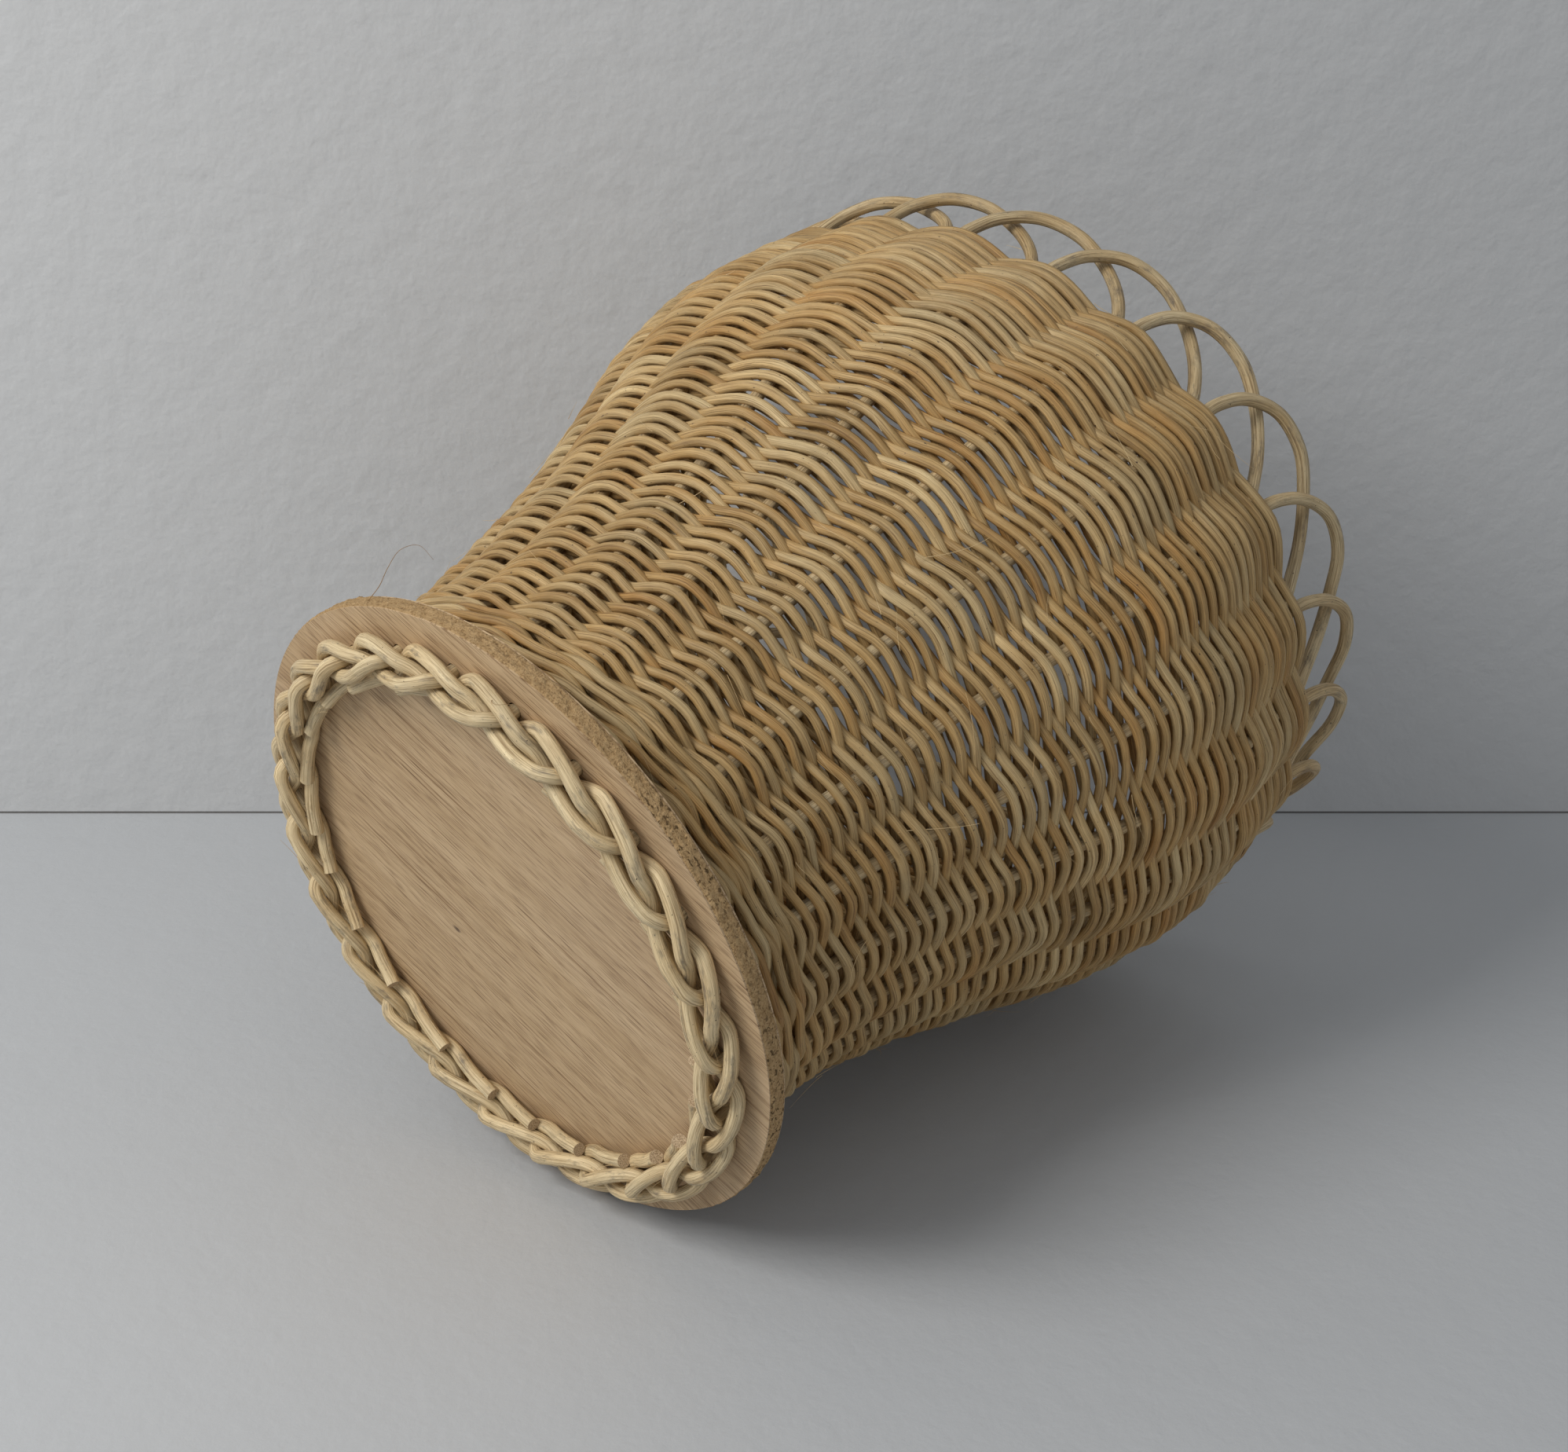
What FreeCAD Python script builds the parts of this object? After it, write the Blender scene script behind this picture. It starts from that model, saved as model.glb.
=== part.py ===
import FreeCAD, Part
import math
import os
from FreeCAD import Vector

# Woven basket on a drilled plywood disc, upright, in millimetres.
# Z is the axis of the basket. The origin is on the axis, in the plane that the
# plaited foot border stands on. Stake 1 rises at azimuth 0, on the +X side.

# Driving dimensions: the base disc
DISC_RADIUS = 100.0
DISC_THICKNESS = 6.0
VENEER_THICKNESS = 0.6
FOOT_DEPTH = 10.8             # standing plane to the underside of the disc

# Driving dimensions: the stakes
STAKE_COUNT = 24
STAKE_DIAMETER = 4.0
HOLE_DIAMETER = 4.6
HOLE_CIRCLE_RADIUS = 87.0

# Driving dimensions: the woven wall
WEAVE_HEIGHT = 209.0
BAND_COUNT = 12               # one wale at the base and eleven pairs of weavers
WEAVER_THICKNESS = 2.4
WEAVER_CLEARANCE = 0.45       # between an upright stake and the weavers, level
BAND_CLEARANCE = 0.3          # between one band of weavers and the next

# Radius of the circle of stakes at evenly spaced heights, disc to rim.
STAKE_CIRCLE_RADII = (87.0, 86.2, 94.2, 105.8, 119.3, 126.8, 125.4)

# Rim: each stake arches over its neighbour and is tucked in beside the next one.
RIM_ARCH_HEIGHT = 30.0
RIM_TUCK_LENGTH = 45.0
RIM_TUCK_STEP = 1.86          # stake spacings from the arch's start to its tucked end
RIM_CROSSING_OFFSET = 2.4     # radial shift of each arch where two arches cross

# Foot border: the same stakes, bent under the disc and plaited round it. From the
# cut end to the hole: stake spacings back from the hole, radius, depth under the disc.
FOOT_STATIONS = (
    (4.01, 78.9, 5.2),
    (3.72, 79.5, 4.3),
    (3.44, 80.1, 3.3),
    (3.20, 80.7, 2.2),
    (2.99, 82.2, 2.1),
    (2.82, 84.7, 2.1),
    (2.69, 87.9, 2.1),
    (2.54, 90.4, 2.1),
    (2.37, 91.5, 3.2),
    (2.17, 91.7, 4.4),
    (1.97, 91.3, 5.4),
    (1.78, 90.3, 6.3),
    (1.61, 88.8, 6.4),
    (1.45, 86.9, 5.2),
    (1.28, 84.9, 4.8),
    (1.10, 83.2, 5.8),
    (0.88, 82.8, 7.1),
    (0.64, 83.3, 8.3),
    (0.41, 84.6, 9.1),
    (0.22, 86.4, 9.1),
    (0.09, 87.5, 7.5),
    (0.00, 87.0, 4.5),
)

# Share of the shorter neighbouring run that a bend may take up.
BEND_SHARE = 0.45

STAKE_RADIUS = STAKE_DIAMETER / 2
STAKE_STEP = 360.0 / STAKE_COUNT
DISC_UNDERSIDE = FOOT_DEPTH
DISC_TOP = DISC_UNDERSIDE + DISC_THICKNESS
WEAVE_TOP = DISC_TOP + WEAVE_HEIGHT
BAND_HEIGHT = WEAVE_HEIGHT / BAND_COUNT
Z_AXIS = Vector(0, 0, 1)
ORIGIN = Vector(0, 0, 0)


def stake_circle_radius(height):
    """Radius of the stake circle at a height above the disc, as a smooth curve."""
    spans = len(STAKE_CIRCLE_RADII) - 1
    place = min(max(height / WEAVE_HEIGHT, 0.0), 1.0) * spans
    index = min(int(place), spans - 1)
    share = place - index
    before = STAKE_CIRCLE_RADII[max(index - 1, 0)]
    start = STAKE_CIRCLE_RADII[index]
    end = STAKE_CIRCLE_RADII[index + 1]
    after = STAKE_CIRCLE_RADII[min(index + 2, spans)]
    start_slope = (end - before) / 2
    end_slope = (after - start) / 2
    return ((2 * share**3 - 3 * share**2 + 1) * start
            + (share**3 - 2 * share**2 + share) * start_slope
            + (3 * share**2 - 2 * share**3) * end
            + (share**3 - share**2) * end_slope)


def point_at(radius, step, z):
    """Point at a radius and height, a number of stake spacings round from stake 1."""
    angle = math.radians(step * STAKE_STEP)
    return Vector(radius * math.cos(angle), radius * math.sin(angle), z)


def rounded_wire(points):
    """Straight runs through the points, joined by tangent arcs."""
    edges = []
    run_start = points[0]
    for before, corner, after in zip(points, points[1:], points[2:]):
        back = before - corner
        ahead = after - corner
        shorter = min(back.Length, ahead.Length)
        back.normalize()
        ahead.normalize()
        half_turn = (math.pi - back.getAngle(ahead)) / 2
        setback = BEND_SHARE * shorter
        bend_radius = setback / math.tan(half_turn)
        middle = back + ahead
        middle.normalize()
        arc_start = corner + back * setback
        arc_end = corner + ahead * setback
        arc_middle = corner + middle * (bend_radius / math.cos(half_turn) - bend_radius)
        edges.append(Part.makeLine(run_start, arc_start))
        edges.append(Part.Arc(arc_start, arc_middle, arc_end).toShape())
        run_start = arc_end
    edges.append(Part.makeLine(run_start, points[-1]))
    return Part.Wire(edges)


def rod(points):
    """A stake-thick rod along the rounded route through the points."""
    start_circle = Part.makeCircle(STAKE_RADIUS, points[0], points[1] - points[0])
    return rounded_wire(points).makePipeShell([Part.Wire(start_circle)], True, False)


def foot_route():
    """From the cut end under the disc to the hole of stake 1, in the foot border."""
    return [point_at(radius, -back, DISC_UNDERSIDE - depth)
            for back, radius, depth in FOOT_STATIONS]


def wall_route():
    """Up through the disc and the woven wall to the rim, at azimuth 0."""
    route = []
    for level in range(BAND_COUNT + 1):
        height = level * BAND_HEIGHT
        route.append(point_at(stake_circle_radius(height), 0, DISC_TOP + height))
    return route


def rim_route():
    """The open arch over the next stake and the tail tucked beside the one after."""
    rim_radius = stake_circle_radius(WEAVE_HEIGHT)
    stations = (
        # stake spacings from the start, share of the arch height, share of the offset
        (0.02, 0.30, 0.45),
        (0.14, 0.64, 1.00),
        (0.42, 0.93, 1.00),
        (0.82, 1.01, 0.20),
        (1.20, 0.89, -0.90),
        (1.52, 0.62, -1.00),
        (1.76, 0.27, -0.60),
    )
    route = [point_at(rim_radius + share_out * RIM_CROSSING_OFFSET, step,
                      WEAVE_TOP + share_up * RIM_ARCH_HEIGHT)
             for step, share_up, share_out in stations]
    route.append(point_at(rim_radius, RIM_TUCK_STEP, WEAVE_TOP))
    tuck_end = WEAVE_HEIGHT - RIM_TUCK_LENGTH
    for level in range(BAND_COUNT - 1, -1, -1):
        height = max(level * BAND_HEIGHT, tuck_end)
        route.append(point_at(stake_circle_radius(height), RIM_TUCK_STEP, DISC_TOP + height))
        if height == tuck_end:
            break
    return route


def make_stake():
    """Stake 1: foot border, wall and rim arch in one unbroken rod."""
    stake = rod(foot_route() + wall_route() + rim_route())
    below_ground = Part.makeBox(4 * DISC_RADIUS, 4 * DISC_RADIUS, DISC_RADIUS,
                                Vector(-2 * DISC_RADIUS, -2 * DISC_RADIUS, -DISC_RADIUS))
    return stake.cut(below_ground)


def make_ply(bottom, thickness):
    """One drilled ply of the base disc."""
    ply = Part.makeCylinder(DISC_RADIUS, thickness, Vector(0, 0, bottom))
    holes = []
    for index in range(STAKE_COUNT):
        centre = point_at(HOLE_CIRCLE_RADIUS, index, bottom - 1.0)
        holes.append(Part.makeCylinder(HOLE_DIAMETER / 2, thickness + 2.0, centre))
    return ply.cut(holes)


def make_ring(bottom_radius, top_radius, bottom, top):
    """One weaver-thick ring of the wall, from its inner radius at both ends."""
    corners = [Vector(bottom_radius, 0, bottom),
               Vector(bottom_radius + WEAVER_THICKNESS, 0, bottom),
               Vector(top_radius + WEAVER_THICKNESS, 0, top),
               Vector(top_radius, 0, top)]
    section = Part.Face(Part.makePolygon(corners + corners[:1]))
    return section.revolve(ORIGIN, Z_AXIS, 360)


def make_band(index):
    """A band of weavers: one ring outside the stakes and one inside them."""
    low = index * BAND_HEIGHT + (BAND_CLEARANCE if index == 0 else BAND_CLEARANCE / 2)
    high = (index + 1) * BAND_HEIGHT - BAND_CLEARANCE / 2
    low_radius = stake_circle_radius(low)
    high_radius = stake_circle_radius(high)
    gap = STAKE_RADIUS + WEAVER_CLEARANCE
    outside = make_ring(low_radius + gap, high_radius + gap, DISC_TOP + low, DISC_TOP + high)
    inward = -gap - WEAVER_THICKNESS
    inside = make_ring(low_radius + inward, high_radius + inward, DISC_TOP + low, DISC_TOP + high)
    return Part.makeCompound([outside, inside])


def make_nodes():
    """Every piece of the basket, by name."""
    core_bottom = DISC_UNDERSIDE + VENEER_THICKNESS
    core_thickness = DISC_THICKNESS - 2 * VENEER_THICKNESS
    nodes = {
        "base_bottom_veneer": make_ply(DISC_UNDERSIDE, VENEER_THICKNESS),
        "base_core": make_ply(core_bottom, core_thickness),
        "base_top_veneer": make_ply(core_bottom + core_thickness, VENEER_THICKNESS),
        "base_wale": make_band(0),
    }
    for index in range(1, BAND_COUNT):
        nodes[f"weaver_pair_{index:02d}"] = make_band(index)
    first_stake = make_stake()
    for index in range(STAKE_COUNT):
        stake = first_stake.copy()
        stake.rotate(ORIGIN, Z_AXIS, index * STAKE_STEP)
        nodes[f"stake_{index + 1:02d}"] = stake
    return nodes


def main():
    os.makedirs("parts", exist_ok=True)
    for name, shape in make_nodes().items():
        shape.exportStep(f"parts/{name}.step")


main()
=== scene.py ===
import math

import bpy
import numpy as np
from mathutils import Matrix, Vector


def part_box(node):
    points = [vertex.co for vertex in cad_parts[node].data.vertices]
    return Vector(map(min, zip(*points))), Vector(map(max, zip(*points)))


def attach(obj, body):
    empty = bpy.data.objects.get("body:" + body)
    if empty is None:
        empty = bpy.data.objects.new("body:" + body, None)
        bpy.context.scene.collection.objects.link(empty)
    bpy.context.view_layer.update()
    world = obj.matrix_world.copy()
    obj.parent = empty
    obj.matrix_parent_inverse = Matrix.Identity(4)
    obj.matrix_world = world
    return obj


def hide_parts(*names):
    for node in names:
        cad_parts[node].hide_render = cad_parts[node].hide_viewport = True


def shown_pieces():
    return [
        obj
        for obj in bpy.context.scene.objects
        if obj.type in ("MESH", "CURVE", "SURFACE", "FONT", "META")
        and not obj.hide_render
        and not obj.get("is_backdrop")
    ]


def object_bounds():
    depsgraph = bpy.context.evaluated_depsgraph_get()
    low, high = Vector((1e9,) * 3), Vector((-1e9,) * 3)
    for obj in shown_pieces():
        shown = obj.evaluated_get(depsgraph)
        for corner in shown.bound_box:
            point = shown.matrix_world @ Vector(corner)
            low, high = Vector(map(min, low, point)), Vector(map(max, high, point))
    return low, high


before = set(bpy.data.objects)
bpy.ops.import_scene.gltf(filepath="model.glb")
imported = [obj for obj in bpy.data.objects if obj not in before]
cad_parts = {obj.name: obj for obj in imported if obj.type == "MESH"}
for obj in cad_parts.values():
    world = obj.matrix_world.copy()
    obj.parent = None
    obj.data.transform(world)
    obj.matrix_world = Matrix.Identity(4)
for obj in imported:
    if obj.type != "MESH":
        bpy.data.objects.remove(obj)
CAD_LOW, CAD_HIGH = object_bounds()

# ---------------------------------------------------------------------------
# Measures, in metres. Places come from the frame, and the stakes are as in the CAD design. Its
# rings of weavers are stand-ins, a little thinner than the canes made here.

BODY = "root"
PAIR_NODES = sorted(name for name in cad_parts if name.startswith("weaver_pair_"))
BAND_NODES = ["base_wale"] + PAIR_NODES
STAKE_NODES = sorted(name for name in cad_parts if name.startswith("stake_"))
BAND_COUNT = len(BAND_NODES)
STAKE_COUNT = len(STAKE_NODES)
STAKE_STEP = 2 * math.pi / STAKE_COUNT

DISC_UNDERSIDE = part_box("base_bottom_veneer")[0].z
DISC_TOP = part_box("base_top_veneer")[1].z
DISC_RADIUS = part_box("base_core")[1].x
WEAVE_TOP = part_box(BAND_NODES[-1])[1].z
WEAVE_HEIGHT = WEAVE_TOP - DISC_TOP
HOLE_CIRCLE_RADIUS = 0.087
STAKE_CIRCLE_RADII = (0.0870, 0.0862, 0.0942, 0.1058, 0.1193, 0.1268, 0.1254)

STAKE_RADIUS = 0.0020
FOOT_ROD_RADIUS = 0.0021
STAKE_SIDES = 12
STAKE_RING_SPACING = 0.0018

WEAVER_RADIUS = 0.00154
WEAVER_SIDES = 8
WEAVER_RINGS_PER_STAKE = 10
BASE_SLIMNESS = 0.86                   # thickness of the lowest weavers, against the others
BASE_SLIM_RISE = 0.2                   # share of the wall over which they gain the rest
PRESS = 0.87                           # share of its full swing that a pressed weaver makes
BASE_SAG = 0.0004                      # sag of a weaver between two stakes, at the base
RIM_SAG = 0.0008                       # the same, at the rim
ROWS_PER_BAND = 4
ROW_COUNT = BAND_COUNT * ROWS_PER_BAND
ROW_SPACING = WEAVE_HEIGHT / ROW_COUNT
RIM_CROWDING = 0.08                    # how much closer the rounds lie towards the rim
SEAM_AZIMUTH = math.radians(88.5)      # where one pair of weavers ends and the next starts

# ---------------------------------------------------------------------------
# Curves and noise

POINTS_PER_SPAN = 24            # of a smooth path, before it is resampled
GROOVE_WAVELENGTH = 0.10
SETTLE_WAVES = 6
SETTLE_PHASES = np.random.default_rng(11).uniform(0, 2 * math.pi, (3, SETTLE_WAVES, 2))
SETTLE_SIZES = (0.0006, 0.0008, 0.0005)         # outward, round the wall and upward
LEAN = np.array((-0.0007, 0.0006, -0.0008))     # how far the rim sits off the axis of the disc
LOW_RIM_AZIMUTH = math.radians(205)             # where the rim is pressed in and lowest
RIM_PRESSED_IN = 0.0026


def stake_circle_radius(height):
    """Radius of the circle of stakes at heights above the disc, as a smooth curve."""
    radii = np.array(STAKE_CIRCLE_RADII)
    spans = len(radii) - 1
    place = np.clip(np.asarray(height, float) / WEAVE_HEIGHT, 0, 1) * spans
    index = np.minimum(place.astype(int), spans - 1)
    share = place - index
    before = radii[np.maximum(index - 1, 0)]
    start = radii[index]
    end = radii[index + 1]
    after = radii[np.minimum(index + 2, spans)]
    return ((2 * share**3 - 3 * share**2 + 1) * start
            + (share**3 - 2 * share**2 + share) * (end - before) / 2
            + (3 * share**2 - 2 * share**3) * end
            + (share**3 - share**2) * (after - start) / 2)


def at_azimuth(radius, azimuth, z):
    """Points from cylinder coordinates, as rows of x, y, z."""
    return np.stack(np.broadcast_arrays(radius * np.cos(azimuth),
                                        radius * np.sin(azimuth), z), axis=-1)


def wander(rng, along, wavelength, octaves=3):
    """Smooth seeded noise along a line, mostly between -1 and 1.

    The wavelength is in metres, and each octave halves it.
    """
    total = np.zeros(len(along))
    for octave in range(octaves):
        turn = rng.uniform(0, 2 * math.pi)
        total += np.sin(2 * math.pi * along * 2**octave / wavelength + turn) / 1.6**octave
    return total / 1.6


def blend(t, a, b, low, high):
    """The point at t on the line that is at a when t is low, and at b when t is high."""
    return (a * (high - t) + b * (t - low)) / (high - low)


def smooth_path(stations, spacing):
    """A Catmull-Rom curve through the stations, resampled at an even spacing."""
    points = np.array(stations, float)
    points = np.vstack([2 * points[0] - points[1], points, 2 * points[-1] - points[-2]])
    knots = np.concatenate([[0], np.cumsum(np.linalg.norm(np.diff(points, axis=0), axis=1)**0.5)])
    pieces = []
    for span in range(1, len(points) - 2):
        t = np.linspace(knots[span], knots[span + 1], POINTS_PER_SPAN, endpoint=False)[:, None]
        k0, k1, k2, k3 = knots[span - 1:span + 3]
        p0, p1, p2, p3 = points[span - 1:span + 3]
        before = blend(t, p0, p1, k0, k1)
        middle = blend(t, p1, p2, k1, k2)
        after = blend(t, p2, p3, k2, k3)
        pieces.append(blend(t, blend(t, before, middle, k0, k2),
                            blend(t, middle, after, k1, k3), k1, k2))
    dense = np.vstack(pieces + [points[-2]])
    along = np.concatenate([[0], np.cumsum(np.linalg.norm(np.diff(dense, axis=0), axis=1))])
    count = max(int(along[-1] / spacing), 2)
    even = np.linspace(0, along[-1], count + 1)
    return np.stack([np.interp(even, along, dense[:, axis]) for axis in range(3)], axis=1)


def uneven_section(rng, along, sides, amount):
    """Flats and grooves along a cane: a factor on its radius, per ring and per side."""
    columns = [wander(rng, along, GROOVE_WAVELENGTH, 3) for _ in range(sides)]
    return 1 + amount * np.stack(columns, axis=1)


def settled(points):
    """The points moved a little, as hand work is: out of round, and uneven up the wall."""
    points = np.asarray(points, float)
    azimuth = np.arctan2(points[:, 1], points[:, 0])
    rise = np.clip((points[:, 2] - DISC_TOP) / WEAVE_HEIGHT, 0, 1.15)
    moves = []
    for axis in range(3):
        total = np.zeros(len(points))
        for wave in range(SETTLE_WAVES):
            turns = wave + 2
            turn_phase, rise_phase = SETTLE_PHASES[axis, wave]
            total += (np.cos(turns * azimuth + turn_phase)
                      * np.cos((1.5 + wave) * rise * 2 + rise_phase) / (1 + 0.4 * wave))
        moves.append(total)
    ease = np.clip(rise * 4, 0, 1)
    pressed = np.maximum(np.cos(azimuth - LOW_RIM_AZIMUTH), 0)**2 * rise**2
    outward = moves[0] * SETTLE_SIZES[0] * ease - RIM_PRESSED_IN * pressed
    sideways = moves[1] * SETTLE_SIZES[1] * ease
    upward = moves[2] * SETTLE_SIZES[2] * ease
    radial = np.stack([np.cos(azimuth), np.sin(azimuth), np.zeros(len(points))], axis=1)
    tangent = np.stack([-np.sin(azimuth), np.cos(azimuth), np.zeros(len(points))], axis=1)
    moved = points + radial * outward[:, None] + tangent * sideways[:, None]
    moved[:, 2] += upward
    return moved + LEAN * (rise**1.5)[:, None]


# ---------------------------------------------------------------------------
# Rods: swept canes gathered into one mesh, with what the cane material reads

GRAIN_TURN = 40                 # radians that the grain is turned for each metre it is shifted


class RodMesh:
    """Collects round canes, and builds them as one mesh object."""

    def __init__(self):
        self.places, self.quads, self.triangles = [], [], []
        self.grain, self.tone = [], []
        self.count = 0

    def _keep(self, places, grain, tone):
        """Adds vertices with what the material reads there. Returns the first one's number."""
        first = self.count
        self.places.append(places)
        self.grain.append(grain)
        self.tone.append(np.broadcast_to(tone, places.shape))
        self.count += len(places)
        return first

    def add(self, centres, radii, tint, brightness, sides, turned=0.0, section=1.0):
        """One cane along the centres.

        tint runs from straw to orange, and brightness from dark to pale. turned shifts the
        grain, and section is a factor on the radius, per ring and per side.
        """
        ring_count = len(centres)
        radii = np.broadcast_to(radii, ring_count)
        along_line = np.gradient(centres, axis=0)
        along_line /= np.linalg.norm(along_line, axis=1)[:, None]
        outward = centres * (1, 1, 0)
        outward -= np.sum(outward * along_line, axis=1)[:, None] * along_line
        outward /= np.linalg.norm(outward, axis=1)[:, None]
        sideways = np.cross(along_line, outward)
        angles = 2 * math.pi * np.arange(sides) / sides
        spread = (np.cos(angles)[None, :, None] * outward[:, None]
                  + np.sin(angles)[None, :, None] * sideways[:, None])
        reach = np.broadcast_to(radii[:, None] * section, (ring_count, sides))
        rings = centres[:, None] + reach[:, :, None] * spread
        rings[:, :, 2] = np.maximum(rings[:, :, 2], 0)
        steps = np.linalg.norm(np.diff(centres, axis=0), axis=1)
        along = np.concatenate([[0], np.cumsum(steps)]) + turned
        grain_angles = (angles + turned * GRAIN_TURN)[None, :]
        grain = np.stack(np.broadcast_arrays(along[:, None], np.cos(grain_angles),
                                             np.sin(grain_angles)), axis=-1)
        tone = np.zeros((ring_count, sides, 3))
        tone[:, :, 0] = np.broadcast_to(tint, ring_count)[:, None]
        tone[:, :, 1] = np.broadcast_to(brightness, ring_count)[:, None]
        first = self._keep(rings.reshape(-1, 3), grain.reshape(-1, 3), tone.reshape(-1, 3))
        ring = np.arange(ring_count - 1)[:, None] * sides + first
        near = np.arange(sides)[None, :]
        far = (near + 1) % sides
        self.quads.append(np.stack([ring + near, ring + far, ring + sides + far,
                                    ring + sides + near], axis=-1).reshape(-1, 4))
        for end, flip in ((0, True), (ring_count - 1, False)):
            cap = np.vstack([rings[end], centres[end]])
            cap_grain = np.column_stack([np.full(sides + 1, along[end]),
                                         np.append(np.cos(angles), 0),
                                         np.append(np.sin(angles), 0)])
            start = self._keep(cap, cap_grain, (*tone[end, 0, :2], 1.0))
            fan = np.column_stack([start + near[0], start + far[0], np.full(sides, start + sides)])
            self.triangles.append(fan[:, ::-1] if flip else fan)

    def build(self, name, material):
        """The mesh object, smooth along the canes and flat on their cut ends."""
        places = np.vstack(self.places)
        quads = np.vstack(self.quads)
        triangles = np.vstack(self.triangles)
        mesh = bpy.data.meshes.new(name)
        mesh.vertices.add(len(places))
        mesh.vertices.foreach_set("co", places.astype(np.float32).ravel())
        corners = np.concatenate([quads.ravel(), triangles.ravel()])
        starts = np.concatenate([np.arange(len(quads)) * 4,
                                 len(quads) * 4 + np.arange(len(triangles)) * 3])
        mesh.loops.add(len(corners))
        mesh.loops.foreach_set("vertex_index", corners.astype(np.int32))
        mesh.polygons.add(len(starts))
        mesh.polygons.foreach_set("loop_start", starts.astype(np.int32))
        smooth = np.concatenate([np.ones(len(quads), bool), np.zeros(len(triangles), bool)])
        mesh.polygons.foreach_set("use_smooth", smooth)
        mesh.update(calc_edges=True)
        mesh.validate()
        for label, values in (("grain", self.grain), ("tone", self.tone)):
            layer = mesh.attributes.new(label, "FLOAT_VECTOR", "POINT")
            layer.data.foreach_set("vector", np.vstack(values).astype(np.float32).ravel())
        mesh.materials.append(material)
        piece = bpy.data.objects.new(name, mesh)
        bpy.context.scene.collection.objects.link(piece)
        return piece


def keep_piece(piece, slot, *nodes):
    """Rides the piece on the basket's one body, in place of the CAD nodes."""
    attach(piece, BODY)
    if nodes:
        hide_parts(*nodes)


# ---------------------------------------------------------------------------
# Materials


class Shader:
    """A small helper that builds one node material."""

    def __init__(self, name):
        self.material = bpy.data.materials.new(name)
        self.material.use_nodes = True
        self.tree = self.material.node_tree
        self.surface = self.tree.nodes["Principled BSDF"]
        self.output = self.tree.nodes["Material Output"]

    def node(self, kind, inputs=None, **settings):
        """A node with its settings, and its inputs as values or links."""
        made = self.tree.nodes.new(kind)
        for key, value in settings.items():
            setattr(made, key, value)
        for key, value in (inputs or {}).items():
            self.feed(made.inputs[key], value)
        return made

    def feed(self, socket, value):
        """Links an output to a socket, or sets the socket's value."""
        if isinstance(value, bpy.types.NodeSocket):
            self.tree.links.new(value, socket)
        else:
            socket.default_value = value

    def math(self, operation, a, b, clamp=False):
        return self.node("ShaderNodeMath", {0: a, 1: b}, operation=operation,
                         use_clamp=clamp).outputs[0]

    def scaled(self, vector, scale):
        """The vector, stretched along each axis."""
        made = self.node("ShaderNodeVectorMath", {0: vector, 1: scale}, operation="MULTIPLY")
        return made.outputs["Vector"]

    def noise(self, vector, scale, detail=3.0, roughness=0.5):
        made = self.node("ShaderNodeTexNoise", {"Vector": vector, "Scale": scale,
                                                "Detail": detail, "Roughness": roughness})
        return made.outputs["Fac"]

    def ramp(self, value, *stops):
        """A colour ramp. The first two stops are its ends, and any third one lies between."""
        made = self.node("ShaderNodeValToRGB", {"Fac": value})
        elements = made.color_ramp.elements
        for index, (place, colour) in enumerate(stops):
            element = elements[index] if index < 2 else elements.new(place)
            element.position = place
            element.color = (*colour, 1)
        return made.outputs["Color"]

    def levels(self, value, low, high, out_low=0.0, out_high=1.0):
        """The value, spread from low and high to out_low and out_high."""
        made = self.node("ShaderNodeMapRange", {"Value": value, "From Min": low, "From Max": high,
                                                "To Min": out_low, "To Max": out_high})
        return made.outputs["Result"]

    def mix(self, kind, factor, a, b):
        made = self.node("ShaderNodeMix", data_type="RGBA", blend_type=kind)
        self.feed(made.inputs["Factor"], factor)
        self.feed(made.inputs["A"], a)
        self.feed(made.inputs["B"], b)
        return made.outputs["Result"]

    def bump(self, height, distance, strength=1.0, under=None):
        """The normal of a relief, on top of another relief if one is given."""
        inputs = {"Height": height, "Distance": distance, "Strength": strength}
        if under is not None:
            inputs["Normal"] = under
        return self.node("ShaderNodeBump", inputs).outputs["Normal"]


SPECK_COLOUR = (0.08, 0.05, 0.03, 1)
DIRT_COLOUR = (0.15, 0.12, 0.09, 1)
STAIN_COLOUR = (0.50, 0.38, 0.27, 1)
VENEER_MARK_COLOUR = (0.13, 0.08, 0.05, 1)
PIT_COLOUR = (0.13, 0.08, 0.035, 1)
GRAIN_AZIMUTH = math.radians(337.5)     # way that the grain of the face ply runs


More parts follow.
